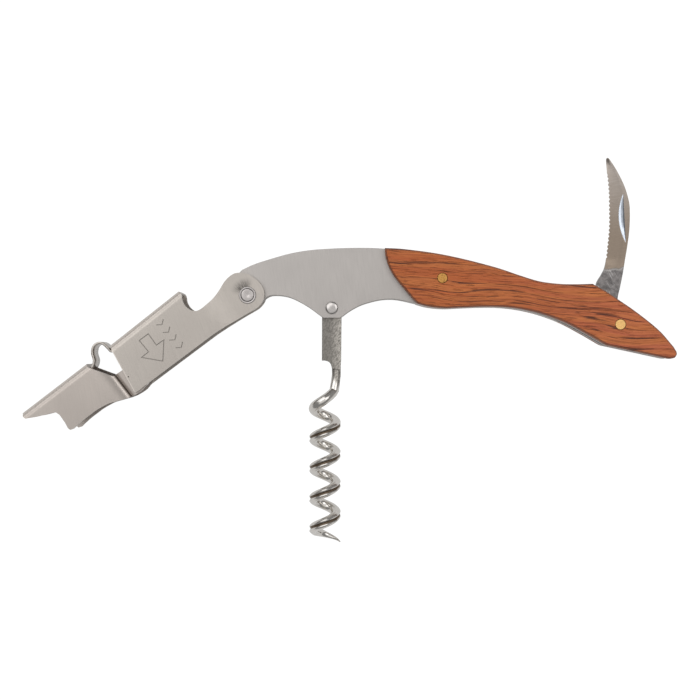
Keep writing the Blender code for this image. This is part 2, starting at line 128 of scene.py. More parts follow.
# Each lever's spine: its direction towards the pivot, a point on its outer face, and how far the sheet
# runs along and down from there before its outline trims it.
LEVER_ANGLE = 38.4
LEVER_SPINE_AT = (-110.2, -14.3)
LEVER_RUN = (-3.0, 50.0)
LEVER_DEPTH = 26.0
FOOT_ANGLE = 37.5
FOOT_SPINE_AT = (-116.2, -19.0)
FOOT_RUN = (-24.0, 24.0)
FOOT_DEPTH = 22.0
BEND = 2.2

# Distances before the pivot and the elbow where the cheeks step inwards to the ears and to the lugs.
EAR_JOGGLE = (12.5, 4.0)
LUG_STEPS = [(9.0, 0.0), (5.7, 0.3), (4.4, 0.66)]
LUG_FROM = 3.7

# Handle outline, as runs of points that smooth curves pass through, clockwise from the head's top left.
HEAD_TOP = [
    (-74.5, 6.4), (-71.2, 7.9), (-66.9, 9.3), (-61.5, 10.8), (-56.2, 11.7), (-50.7, 12.1), (-45.4, 12.3),
    (-40.0, 12.3), (-36.0, 12.1)]
WOOD_TOP = [
    (-36.0, 12.1), (-31.9, 11.9), (-26.6, 11.3), (-21.3, 10.5), (-16.0, 9.4), (-10.7, 8.1), (-5.3, 6.6),
    (0.0, 4.8), (5.3, 3.2), (10.7, 2.5), (15.2, 2.4), (19.6, 2.5)]
TAIL_TOP = [(22.8, 0.7), (26.0, -1.4), (31.5, -5.2), (37.3, -9.9), (41.2, -14.3)]
TAIL_TIP = [(42.0, -15.6), (42.1, -16.4), (41.5, -17.3), (40.2, -17.6)]
TAIL_CORNER = (23.6, -14.0)
WOOD_BOTTOM = [
    (22.9, -13.7), (17.9, -10.8), (12.4, -7.9), (6.9, -5.8), (1.4, -4.4), (-4.1, -3.7), (-9.6, -3.6),
    (-15.1, -3.8), (-20.0, -4.0), (-24.2, -3.6), (-27.3, -2.8)]
HEAD_BOTTOM = [
    (-27.3, -2.8), (-31.6, -1.8), (-34.5, -1.5), (-37.2, -1.7), (-39.9, -2.3), (-42.6, -3.2),
    (-45.4, -4.7), (-47.6, -6.3)]
WORM_LOBE = [(-48.1, -6.6), (-52.5, -6.6), (-53.0, -6.3)]
HEAD_NOSE = [
    (-53.0, -6.3), (-56.4, -3.8), (-59.1, -2.2), (-61.8, -1.0), (-64.6, -0.5), (-67.2, -0.7),
    (-69.4, -2.3), (-71.7, -4.4), (-74.4, -4.7), (-76.8, -2.9), (-77.6, 0.0), (-77.0, 3.6), (-74.5, 6.4)]
WOOD_START = [
    (-27.3, -2.8), (-28.8, -1.2), (-30.9, 1.3), (-33.4, 4.4), (-34.9, 7.1), (-35.8, 9.9), (-36.0, 12.1)]
PLATE_EDGE = 0.14
SCALE_EDGE = [(0.0, 0.85), (0.04, 0.6), (0.36, 0.12), (0.55, 0.0)]
PIN_CLEARANCE = 0.09
PIN_EDGE = 0.12

# Upper lever outline: the notch and the ear as one curve, then the straight open edge and the end.
LEVER_NOTCH = [
    (-91.6, 0.6), (-90.7, 0.0), (-90.4, -0.9), (-90.2, -2.1), (-89.4, -3.5), (-88.1, -4.5), (-86.7, -4.8),
    (-85.4, -4.3), (-83.9, -3.1), (-82.3, -1.6), (-80.7, 0.5), (-79.1, 3.1), (-77.5, 4.7), (-75.7, 5.5),
    (-73.0, 5.2), (-71.2, 4.2), (-69.6, 2.8), (-68.7, 1.3), (-68.4, -0.5), (-68.8, -2.1), (-70.1, -3.7),
    (-71.8, -4.8), (-73.4, -5.7)]
LEVER_OPEN_EDGE = [
    (-78.4, -8.7), (-81.8, -10.9), (-100.1, -24.6), (-101.9, -26.1), (-102.7, -26.6), (-103.2, -26.2)]
LEVER_END = (-109.7, -14.2)
BEYOND_LEVER = [(-110.7, -13.6), (-91.9, 1.3)]
CUT_EDGE = 0.16

# Foot outline: the tip, the step with its claw, the hollow lower edge, the lug at the elbow and the end.
FOOT_TIP = [(-133.1, -32.4), (-132.9, -33.1), (-132.2, -33.6)]
FOOT_STEP = [
    (-129.2, -33.1), (-125.2, -32.1), (-124.0, -31.9), (-123.0, -32.6), (-121.6, -34.6), (-120.8, -36.1),
    (-120.2, -36.6), (-119.3, -36.3)]
FOOT_LOWER = [
    (-118.4, -35.4), (-116.7, -33.9), (-115.0, -32.6), (-113.4, -31.4), (-111.7, -30.4), (-110.1, -29.6),
    (-108.4, -29.1), (-105.2, -28.2)]
LUG = [
    (-105.2, -28.2), (-103.3, -27.4), (-101.4, -26.2), (-100.3, -25.0), (-99.3, -23.6), (-99.3, -21.7),
    (-100.8, -19.9), (-103.3, -19.3), (-106.2, -20.5), (-108.9, -22.3)]
FOOT_END = (-115.4, -19.9)
BEYOND_FOOT = [(-116.7, -18.4), (-134.2, -31.7)]

# Marks engraved in the front cheek: an outline arrow towards the elbow and a row of plain chevrons.
ARROW = [
    (-101.7, -12.7), (-99.3, -10.9), (-97.1, -13.9), (-95.1, -12.5), (-95.4, -18.2), (-101.1, -17.2),
    (-99.2, -15.7)]
CHEVRONS_AT = (-95.9, -8.1)
CHEVRON_STEP = 2.66
CHEVRON_COUNT = 4
CHEVRON_ANGLE = -49.8
CHEVRON_SIZE = (0.9, 1.2)
ENGRAVED_WIDTH = 0.26
ENGRAVED_DEPTH = 0.2
PIT_AT = (-104.6, -22.4)
PIT_RADIUS = 0.2

# Blade edges from the root up to the tip, then its half thickness, grinding, teeth and nail nick.
BLADE_EDGE = [
    (24.6, -12.2), (22.7, -9.6), (21.8, -5.0), (21.3, -0.5), (21.6, 2.9), (23.0, 5.4), (23.9, 7.7),
    (24.6, 13.6), (25.0, 18.3), (25.0, 22.7), (24.9, 27.7), (24.4, 33.5), (24.2, 36.3), (24.4, 36.95)]
BLADE_SPINE = [
    (28.6, -12.2), (29.4, -11.8), (31.0, -9.7), (31.0, -7.1), (29.4, -4.9), (27.6, -3.1), (27.2, -1.2),
    (27.9, 2.1), (28.6, 5.6), (29.3, 9.7), (29.9, 13.3), (30.4, 17.4), (30.55, 21.8), (30.3, 25.1),
    (29.1, 29.2), (27.1, 33.3), (25.2, 36.3), (24.6, 36.95)]
BLADE_HALF = 0.85
GROUND_HALF = 0.62
EDGE_HALF = 0.06
GRIND_FROM = 5.2
GRIND_RUN = 4.6
GROUND_FROM = 7.1
GRIND_WIDTH = 0.7
BLADE_ROW = 0.09
BLADE_COLUMNS = 10
TEETH_FROM = 9.4
TEETH_TO = 32.7
TEETH_FADE = 0.5
TOOTH_PITCH = 1.12
TOOTH_DEPTH = 0.34
NICK_TOP = (28.75, 27.1)
NICK_BOTTOM = (29.45, 14.0)
NICK_BULGE = 1.55
NICK_POINT = 0.04
NICK_FULLNESS = 0.8
# The nick's floor, in shares of its width there: how far from its straight side, and how deep.
NICK_PROFILE = [(1.0, 0.0), (0.74, 0.1), (0.42, 0.15), (0.22, 0.175), (0.0, 0.0)]
NICK_STEPS = 24

# The leaf spring's centre line: inside the foot, round the loop, and inside the upper lever.
SPRING_PATH = [
    (-121.5, -25.3), (-118.3, -22.8), (-115.3, -20.5), (-114.3, -18.3), (-114.8, -16.0), (-114.4, -14.2),
    (-113.1, -13.3), (-111.8, -13.6), (-110.5, -14.8), (-109.6, -15.6), (-108.3, -14.95), (-104.2, -11.65),
    (-99.8, -8.15)]
SPRING_SHEET = 0.56
SPRING_HALF = 3.7
SPRING_CORNER = 0.1

# The flat shank with its eye and its step, and the neck between the shank and the helix.
WORM_EYE = 2.65
EYE_STEPS = 24
SHANK_HALF = 1.5
WORM_STEP = [
    (-53.0, -18.1), (-52.2, -18.1), (-51.2, -18.4), (-50.6, -19.1), (-50.25, -20.4), (-48.0, -20.6),
    (-47.8, -18.0)]
WORM_NECK = 1.2
WORM_NECK_X = -49.1
WORM_NECK_Y = [-17.0, -18.5, -20.0, -21.0, -22.0]

# The helix, with places along it in turns, and the wire's radius at both ends as shares of the full one.
WORM_X = -52.2
WORM_START_Y = -27.1
WORM_OUTER = 4.4
WORM_WIRE = 1.4
WORM_PITCH = 8.15
WORM_TURNS = 4.95
FIRST_TURN = 0.1
OPENS_OVER = 0.25
WORM_LEAD_IN = 2.4
WORM_START = 0.9
WORM_GROWTH = 0.3
WORM_TAPER = 0.4
WORM_POINT = 0.12
WORM_STEPS = 44
WORM_SIDES = 40
FLUTE_DEPTH = 0.36
FLUTE_ANGLE = 0.42
FLUTE_FROM_TURN = 0.9
GROWS_OVER = 0.25

# Rivet heads: domes, a ring around a dished face, and stubs. The profiles are (height, radius) pairs.
DOME_RADIUS = 1.65
DOME_RISE = 0.42
RECESS = 0.16
RING_RADIUS = 2.3
FACE_RADIUS = 1.7
RING_PROFILE = [
    (0.02, RING_RADIUS), (0.16, RING_RADIUS), (0.26, RING_RADIUS - 0.1), (0.28, RING_RADIUS - 0.25),
    (0.24, FACE_RADIUS + 0.14), (0.02, FACE_RADIUS + 0.1), (0.02, FACE_RADIUS + 0.02), (0.36, FACE_RADIUS),
    (0.46, FACE_RADIUS - 0.1), (RIVET_RISE, FACE_RADIUS - 0.25), (0.34, 0.35), (0.31, 0.02)]
STUB_RADIUS = 2.1
STUB_PROFILE = [
    (-0.4, STUB_RADIUS - 0.5), (-0.3, STUB_RADIUS - 0.1), (0.0, STUB_RADIUS), (0.02, ELBOW_SHAFT)]

# Cutters reach this far above and below the middle, clear of every piece.
REACH = 8.0

# Ranges over which painted shade and painted highlights rise and fall: along the foot from its elbow, by
# how upright a bend is, and away from the upper lever's end edge.
FOOT_PAINTED_SHADE = ((-7.6, -5.2), (-5.2, -4.9))
FOOT_PAINTED_HIGHLIGHT = ((-5.1, -4.8), (-4.6, -4.4))
FOOT_PAINTED_SHADOW = ((-4.6, -4.3), (-3.7, -2.9))
BEND_HIGHLIGHT = ((0.15, 0.45), (0.85, 0.95))
END_HIGHLIGHT = (0.1, 0.35)

# Rub marks around the lever's pivot: the turn that they face, and how far round and out they fade.
RUB_TURN = 2.1
RUB_SPAN = (0.3, 1.1)
RUB_REACH = (2.4, 5.2)

# Ranges over which painted light on the shank rises across it, and where the shank ends along a slanting
# line.
SHANK_PAINTED_LIGHT = (-51.5, -47.6)
SHANK_SLANT = 1.4
SHANK_ENDS = (-94.0, -91.5)

# Ranges over which the blade gets lighter up its length, and the border of its grinding curls.
TIP_LIGHTENS = (14.0, 34.0)
BORDER_CURL = (27.2, 29.4)

# Brightness of the floor and of the world around it, as seen directly and in reflections.
FLOOR_SEEN = 0.98
FLOOR_REFLECTED = 0.6
WORLD_SEEN = 1.0
WORLD_REFLECTED = 0.25

# Half the floor's side and its gap under the part, in metres.
FLOOR_HALF = 4.0
FLOOR_GAP = 0.00005

# The camera is straight above, and the lens is in its own millimetres.
CAMERA_AT = (-45.39, -15.22, 346.8)
LENS = 64.5


# ---- shapes in the plane


def spline(points, steps=CURVE_STEPS):
    """A smooth open curve through the points, from the first to the last."""
    points = [Vector(point) for point in points]
    ends = [2 * points[0] - points[1]] + points + [2 * points[-1] - points[-2]]
    curve = []
    for before, start, stop, after in zip(ends, ends[1:], ends[2:], ends[3:]):
        for step in range(steps):
            t = step / steps
            curve.append(0.5 * (2 * start + (stop - before) * t
                                + (2 * before - 5 * start + 4 * stop - after) * t ** 2
                                + (3 * start - before - 3 * stop + after) * t ** 3))
    return curve + [points[-1]]


def arc(centre, radius, start, stop, steps):
    """Points on a circle, from one angle to the other in degrees."""
    angles = [math.radians(start + (stop - start) * step / steps) for step in range(steps + 1)]
    return [Vector((centre[0] + radius * math.cos(angle), centre[1] + radius * math.sin(angle)))
            for angle in angles]


def circle(centre, radius):
    return arc(centre, radius, 0, 360, SIDES)[:-1]


def direction(degrees):
    return Vector((math.cos(math.radians(degrees)), math.sin(math.radians(degrees))))


def left_of(along):
    return Vector((-along.y, along.x))


def tangent(path, index):
    """The direction of a path at one of its points."""
    return (path[min(index + 1, len(path) - 1)] - path[max(index - 1, 0)]).normalized()


def joined(*runs):
    """One closed outline from several runs of points, without the points that repeat."""
    outline = []
    for point in (Vector(point) for run in runs for point in run):
        if not outline or (point - outline[-1]).length > SAME_CORNER:
            outline.append(point)
    if (outline[0] - outline[-1]).length < SAME_CORNER:
        outline.pop()
    area = sum(a.x * b.y - b.x * a.y for a, b in zip(outline, outline[1:] + outline[:1]))
    return outline if area > 0 else outline[::-1]


def gap_to(outline, points):
    """How far each point lies from the nearest edge of the outline."""
    starts = np.array([tuple(point) for point in outline])
    runs = np.roll(starts, -1, axis=0) - starts
    offsets = np.array([tuple(point) for point in points])[:, None] - starts
    shares = np.clip((offsets * runs).sum(axis=2) / (runs ** 2).sum(axis=1), 0.0, 1.0)
    return np.linalg.norm(offsets - shares[..., None] * runs, axis=2).min(axis=1)


def inset(outline, distance):
    """The outline moved inwards, point for point. Points that would cross over in a tight bend close up."""
    if not distance:
        return outline
    moved = []
    for before, point, after in zip(outline[-1:] + outline[:-1], outline, outline[1:] + outline[:1]):
        along = ((point - before).normalized() + (after - point).normalized()) / 2
        mitre = left_of(along) / max(STEEPEST_MITRE, along.length) ** 2
        moved.append(point + distance * mitre)
    kept = [index for index, gap in enumerate(gap_to(outline, moved)) if gap > KEPT_SHARE * abs(distance)]
    for first, last in zip(kept, kept[1:] + [kept[0] + len(moved)]):
        for index in range(first + 1, last):
            moved[index % len(moved)] = (moved[first] + moved[last % len(moved)]) / 2
    return moved


def smooth_step(value):
    value = min(1.0, max(0.0, value))
    return value * value * (3 - 2 * value)


def rounded_rims(low, high, edge):
    """(inset, height) pairs up a wall whose two rims are rounded by `edge`."""
    turns = [math.pi / 2 * step / RIM_STEPS for step in range(RIM_STEPS + 1)]
    quarter = [(edge * (1 - math.sin(turn)), edge * (1 - math.cos(turn))) for turn in turns]
    return ([(side, low + rise) for side, rise in quarter]
            + [(side, high - rise) for side, rise in reversed(quarter)])


# ---- meshes


def linked(name, data):
    """A new object in the scene."""
    obj = bpy.data.objects.new(name, data)
    bpy.context.scene.collection.objects.link(obj)
    return obj


def build(name, points, faces, material=None):
    """A mesh object from points in millimetres, in the frame's own place."""
    mesh = bpy.data.meshes.new(name)
    mesh.from_pydata([Vector(point) * UNIT for point in points], [], faces)
    cleaned = bmesh.new()
    cleaned.from_mesh(mesh)
    bmesh.ops.remove_doubles(cleaned, verts=cleaned.verts, dist=SAME_POINT * UNIT)
    bmesh.ops.recalc_face_normals(cleaned, faces=cleaned.faces)
    cleaned.to_mesh(mesh)
    cleaned.free()
    if material:
        mesh.materials.append(material)
    return linked(name, mesh)


def faces_between(size, row, next_row):
    """The faces from one loop of `size` points to another, each loop given by its row in the mesh."""
    return [(row * size + column, row * size + (column + 1) % size,
             next_row * size + (column + 1) % size, next_row * size + column) for column in range(size)]


def loft(loops):
    """Points and faces of a closed solid between loops of equal length, capped at both ends."""
    size = len(loops[0])
    points = [point for loop in loops for point in loop]
    faces = [face for row in range(len(loops) - 1) for face in faces_between(size, row, row + 1)]
    faces.append(tuple(reversed(range(size))))
    faces.append(tuple(range(len(points) - size, len(points))))
    return points, faces


def at_height(outline, height):
    return [(point[0], point[1], MIDDLE + height) for point in outline]


def prism(name, outline, low, high):
    return build(name, *loft([at_height(outline, low), at_height(outline, high)]))


def plate(name, outline, layers, material):
    """A plate built up from (inset, height) layers of one outline, lowest first."""
    loops = [at_height(inset(outline, side), height) for side, height in layers]
    return build(name, *loft(loops), material)


def turned(name, centre, profile, material):
    """A solid of revolution about Z from (height, radius) pairs, lowest first."""
    return build(name, *loft([at_height(circle(centre, radius), height) for height, radius in profile]),
                 material)


def collar(name, outer, inner, low, high):
    """A closed band between two outlines of equal length, from one height to another."""
    loops = [at_height(inner, low), at_height(outer, low), at_height(outer, high), at_height(inner, high)]
    points = [point for loop in loops for point in loop]
    faces = [face for row in range(len(loops))
             for face in faces_between(len(outer), row, (row + 1) % len(loops))]
    return build(name, points, faces)


def baked(obj):
    """The object with its modifiers applied to its mesh."""
    graph = bpy.context.evaluated_depsgraph_get()
    mesh = bpy.data.meshes.new_from_object(obj.evaluated_get(graph))
    obj.modifiers.clear()
    obj.data = mesh
    return obj


def smoothed(obj, angle=SHARP_ANGLE):
    """Smooth shading that stays sharp at the real corners."""
    obj.data.shade_smooth()
    obj.data.set_sharp_from_angle(angle=math.radians(angle))
    return obj


def finished(obj):
    """Smooth shading in which the large faces stay flat."""
    step = smoothed(obj).modifiers.new("weighted", "WEIGHTED_NORMAL")
    step.keep_sharp = True
    return baked(obj)


def carved(obj, tools, operation="DIFFERENCE"):
    """The object after a Boolean with each tool in turn. The tools are used up."""
    for tool in tools:
        step = obj.modifiers.new(tool.name, "BOOLEAN")
        step.operation = operation
        step.object = tool
        step.material_mode = "TRANSFER" if tool.data.materials else "INDEX"
    baked(obj)
    for tool in tools:
        bpy.data.objects.remove(tool)
    return obj


def eased(obj, width):
    """The object with its sharp edges rounded off."""
    step = obj.modifiers.new("eased", "BEVEL")
    step.width = width * UNIT
    step.segments = EASED_STEPS
    step.limit_method = "ANGLE"
    step.angle_limit = math.radians(CORNER_ANGLE)
    return baked(obj)


def bores(places, low=-REACH):
    """Round cutters, one at each (centre, radius)."""
    return [prism("bore", circle(centre, radius), low, REACH) for centre, radius in places]


def put(obj, body, slot, *nodes):
    """Sets the piece on its body and hides the CAD nodes that it stands for. The slot is not used."""
    finished(obj)
    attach(obj, body)
    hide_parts(*nodes)


# ---- materials


class Shade:
    """A material under construction. Most calls add nodes, and return an output socket."""

    def __init__(self, name, colour, metallic, roughness):
        self.material = bpy.data.materials.new(name)
        self.material.use_nodes = True
        self.tree = self.material.node_tree
        self.shader = self.tree.nodes["Principled BSDF"]
        self.fix("Base Color", (*colour, 1.0))
        self.fix("Metallic", metallic)
        self.fix("Roughness", roughness)

    def fix(self, socket, value):
        """Sets one of the shader's own values."""
        self.shader.inputs[socket].default_value = value

    def add(self, kind, inputs, output=0, **settings):
        node = self.tree.nodes.new("ShaderNode" + kind)
        for key, value in settings.items():
            setattr(node, key, value)
        for key, value in inputs.items():
            if isinstance(value, bpy.types.NodeSocket):
                self.tree.links.new(value, node.inputs[key])
            else:
                node.inputs[key].default_value = value
        return node.outputs[output]

    def place(self, centre=(0.0, 0.0, 0.0), angle=0.0):
        """Position on the piece in millimetres from a centre, turned so that X runs along the angle."""
        rest = self.add("TexCoord", {}, "Object")
        moved = self.add("VectorMath", {0: rest, 1: Vector(centre) * UNIT}, operation="SUBTRACT")
        return self.add("Mapping", {"Vector": moved, "Rotation": (0.0, 0.0, -math.radians(angle)),
                                    "Scale": (1 / UNIT, 1 / UNIT, 1 / UNIT)})

    def noise(self, place, size, detail=2.0, roughness=0.5):
        """Noise whose blotches measure about `size`, as lengths along X, Y and Z."""
        scale = tuple(1 / length for length in size)
        fitted = self.add("Mapping", {"Vector": place, "Scale": scale})
        return self.add("TexNoise", {"Vector": fitted, "Scale": 1.0, "Detail": detail,
                                     "Roughness": roughness})

    def axes(self, place):
        return tuple(self.add("SeparateXYZ", {0: place}).node.outputs)

    def maths(self, operation, first, second=0.0):
        return self.add("Math", {0: first, 1: second}, operation=operation)

    def times(self, first, second):
        return self.maths("MULTIPLY", first, second)

    def off(self, value, centre):
        """How far the value is from a centre, on either side."""
        return self.maths("ABSOLUTE", self.maths("SUBTRACT", value, centre))

    def upright(self):
        """How straight up or down the surface faces: 1 on flat faces, 0 on walls."""
        _, _, up = self.axes(self.add("TexCoord", {}, "Normal"))
        return self.maths("ABSOLUTE", up)

    def spread(self, value, low, high, to_low=0.0, to_high=1.0):
        """The value rescaled from one range to another, and held inside it."""
        ranges = {"Value": value, "From Min": low, "From Max": high, "To Min": to_low, "To Max": to_high}
        return self.add("MapRange", ranges, interpolation_type="SMOOTHSTEP")

    def band(self, value, rise, fall, most):
        """Up to `most` over the first range of the value, and back to 0 over the second."""
        return self.times(self.spread(value, *rise, 0.0, most), self.spread(value, *fall, 1.0, 0.0))

    def mix(self, share, first, second):
        ready = [(*tint, 1.0) if isinstance(tint, tuple) else tint for tint in (first, second)]
        return self.add("Mix", {0: share, 6: ready[0], 7: ready[1]}, 2, data_type="RGBA")

    def use(self, socket, value):
        self.tree.links.new(value, self.shader.inputs[socket])

    def paint(self, colour):
        self.use("Base Color", colour)

    def colour(self):
        """What is on the base colour so far, to lay more over it."""
        return self.shader.inputs["Base Color"].links[0].from_socket

    def bump(self, height, depth, strength=1.0):
        """Relief of `depth` millimetres from a height of 0 to 1."""
        relief = {"Height": height, "Distance": depth * UNIT, "Strength": strength}
        self.use("Normal", self.add("Bump", relief))


def tinted(colour, factor):
    return tuple(channel * factor for channel in colour)


def brushed_steel(name, colour, angle, roughness=0.36):
    """Sheet with fine brushing along one direction, faint cloudiness and a few longer scratches."""
    shade = Shade(name, colour, 1.0, roughness)
    place = shade.place(angle=angle)
    strokes = shade.noise(place, (4.0, 0.26, 1.0), 3.0, 0.6)
    clouds = shade.noise(place, (16.0, 11.0, 8.0), 1.0)
    scratches = shade.noise(place, (7.0, 0.1, 1.0), 0.0)
    fine = shade.mix(strokes, tinted(colour, 0.89), tinted(colour, 1.1))
    cloudy = shade.mix(shade.spread(clouds, 0.35, 0.7, 0.0, 0.4), fine, tinted(colour, 0.86))
    scratched = shade.mix(shade.spread(scratches, 0.7, 0.8, 0.0, 0.25), cloudy, tinted(colour, 0.7))
    shade.paint(scratched)
    shade.use("Roughness", shade.spread(strokes, 0.2, 0.8, roughness - 0.05, roughness + 0.07))
    shade.bump(strokes, 0.0005)
    return shade


def painted_bend_highlight(shade):
    """The colour so far, with a painted highlight where the sheet is rolled over at the bends."""
    return shade.mix(shade.band(shade.upright(), *BEND_HIGHLIGHT, 0.8), shade.colour(), (0.79, 0.72, 0.66))


def distance_from(shade, centre):
    """Distance and turn, in millimetres and radians, around an axis through a point."""
    across, up, _ = shade.axes(shade.place((*centre, 0.0)))
    squares = shade.maths("ADD", shade.times(across, across), shade.times(up, up))
    return shade.maths("SQRT", squares), shade.maths("ARCTAN2", up, across)


def lever_steel(name, colour, angle):
    """Brushed steel with short dark rub marks around the pivot, a painted highlight on its bends and a
    painted highlight along its end edge.
    """
    shade = brushed_steel(name, colour, angle)
    base = painted_bend_highlight(shade)
    distance, turn = distance_from(shade, LEVER_AXIS)
    spokes = shade.add("CombineXYZ", {"X": shade.times(turn, 26.0), "Y": shade.times(distance, 0.6)})
    rays = shade.add("TexNoise", {"Vector": spokes, "Scale": 1.0, "Detail": 2.0})
    facing = shade.spread(shade.off(turn, RUB_TURN), *RUB_SPAN, 1.0, 0.0)
    near = shade.times(facing, shade.spread(distance, *RUB_REACH, 1.0, 0.0))
    marked = shade.times(near, shade.spread(rays, 0.3, 0.62, 0.35, 1.0))
    rubbed = shade.mix(marked, base, tinted(colour, 0.25))
    # Painted highlight along the upper lever's end edge at the elbow.
    end = Vector(LEVER_END) - Vector(LEVER_OPEN_EDGE[-1])
    _, off_end, _ = shade.axes(shade.place((*LEVER_END, 0.0), math.degrees(math.atan2(end.y, end.x))))
    lighter_band = shade.spread(shade.maths("ABSOLUTE", off_end), *END_HIGHLIGHT, 0.6, 0.0)
    shade.paint(shade.mix(lighter_band, rubbed, tinted(colour, 1.5)))
    return shade


def foot_steel(name, colour, angle):
    """Brushed steel with a painted highlight on its bends, painted shade down the ramp where its cheeks are
    pressed in, a painted highlight on the lip and a painted shadow at the elbow.
    """
    shade = brushed_steel(name, colour, angle)
    base = painted_bend_highlight(shade)
    along, _, _ = shade.axes(shade.place((*ELBOW_AXIS, 0.0), FOOT_ANGLE))
    # Painted shade on the ramp, a painted highlight on the lip below it, and a painted shadow on the lug
    # beside the upper lever's end.
    ramp_shaded = shade.mix(shade.band(along, *FOOT_PAINTED_SHADE, 0.8), base, tinted(colour, 0.6))
    lip_highlighted = shade.mix(shade.band(along, *FOOT_PAINTED_HIGHLIGHT, 1.0), ramp_shaded, tinted(colour, 1.22))
    shade.paint(shade.mix(shade.band(along, *FOOT_PAINTED_SHADOW, 0.8), lip_highlighted, (0.14, 0.11, 0.09)))
    return shade


def bright_steel(name, colour, roughness=0.16):
    """Polished steel with faint smudges and hair scratches."""
    shade = Shade(name, colour, 1.0, roughness)
    place = shade.place(angle=20.0)
    smudges = shade.noise(place, (1.6, 1.2, 1.2), 3.0, 0.6)
    hairs = shade.noise(place, (2.5, 0.06, 0.5), 1.0)
    shade.paint(shade.mix(smudges, tinted(colour, 0.82), tinted(colour, 1.12)))
    shade.use("Roughness", shade.spread(smudges, 0.3, 0.75, roughness - 0.05, roughness + 0.1))
    shade.bump(hairs, 0.002)
    return shade


def rivet_steel(name, colour):
    """A turned rivet face, with painted shade in the groove between its face and its ring and round the
    ring's rim.
    """
    shade = bright_steel(name, colour, 0.24)
    distance, _ = distance_from(shade, LEVER_AXIS)
    off_groove = shade.off(distance, FACE_RADIUS + 0.06)
    off_rim = shade.off(distance, RING_RADIUS)
    # Painted shade in the groove and round the ring's rim.
    painted_crease_shade = shade.spread(shade.maths("MINIMUM", off_groove, off_rim), 0.03, 0.16, 0.85, 0.0)
    shade.paint(shade.mix(painted_crease_shade, shade.colour(), tinted(colour, 0.2)))
    return shade


def worm_steel(name, wire, shank):
    """Bright drawn wire below a dull flat shank, with painted light that gets stronger towards its right
    edge.
    """
    shade = bright_steel(name, wire, 0.2)
    across, up, _ = shade.axes(shade.place())
    specks = shade.noise(shade.place(angle=60.0), (0.7, 0.35, 0.6), 4.0, 0.7)
    # Painted light, stronger towards the shank's right edge.
    lit = shade.mix(shade.spread(across, *SHANK_PAINTED_LIGHT), tinted(shank, 0.95), tinted(shank, 1.95))
    dull = shade.mix(shade.spread(specks, 0.38, 0.62, 0.0, 0.8), lit, tinted(shank, 0.55))
    on_shank = shade.spread(shade.maths("ADD", up, shade.times(across, SHANK_SLANT)), *SHANK_ENDS)
    shade.paint(shade.mix(on_shank, shade.colour(), dull))
    shade.use("Roughness", shade.spread(on_shank, 0.0, 1.0, 0.2, 0.42))
    return shade


def blade_steel(name):
    """A ground blade above the tang, and a darker scratched tang below the end of the grinding."""
    ground = (0.280, 0.225, 0.178)
    tip = (0.40, 0.355, 0.32)
    tang = (0.195, 0.182, 0.178)
    shade = Shade(name, ground, 1.0, 0.3)
    place = shade.place()
    across, up, _ = shade.axes(place)
    wander = shade.noise(place, (1.6, 3.0, 2.2), 2.0)
    curled = shade.maths("SUBTRACT", up, shade.spread(across, *BORDER_CURL, 0.0, 0.7))
    border = shade.maths("ADD", curled, wander)
    on_blade = shade.spread(border, GROUND_FROM, GROUND_FROM + 0.5)
    lighter_band = shade.band(border, (GROUND_FROM - 0.5, GROUND_FROM - 0.1), (GROUND_FROM, GROUND_FROM + 0.2), 0.3)
    grinding = shade.noise(shade.place(angle=8.0), (4.0, 0.14, 1.0), 3.0, 0.6)
    blotches = shade.noise(place, (1.3, 1.0, 1.0), 4.0, 0.65)
    scratches = shade.noise(shade.place(angle=118.0), (3.2, 0.16, 1.0), 1.0)
    along = shade.mix(shade.spread(up, *TIP_LIGHTENS), ground, tip)
    blade = shade.mix(shade.spread(grinding, 0.25, 0.75, 0.0, 0.35), along, tinted(ground, 0.72))
    dull = shade.mix(shade.spread(blotches, 0.35, 0.65), tinted(tang, 0.68), tinted(tang, 1.25))
    scratched = shade.mix(shade.spread(scratches, 0.66, 0.74, 0.0, 0.7), dull, (0.62, 0.61, 0.60))
    bordered = shade.mix(lighter_band, scratched, (0.6, 0.57, 0.54))
    shade.paint(shade.mix(on_blade, bordered, blade))
    shade.use("Roughness", shade.spread(blotches, 0.2, 0.8, 0.26, 0.42))
    shade.bump(grinding, 0.003)
    return shade


def contour(shade, height, width):
    """A thin line wherever the height passes through its middle value."""
    return shade.spread(shade.off(height, 0.5), 0.25 * width, width, 1.0, 0.0)


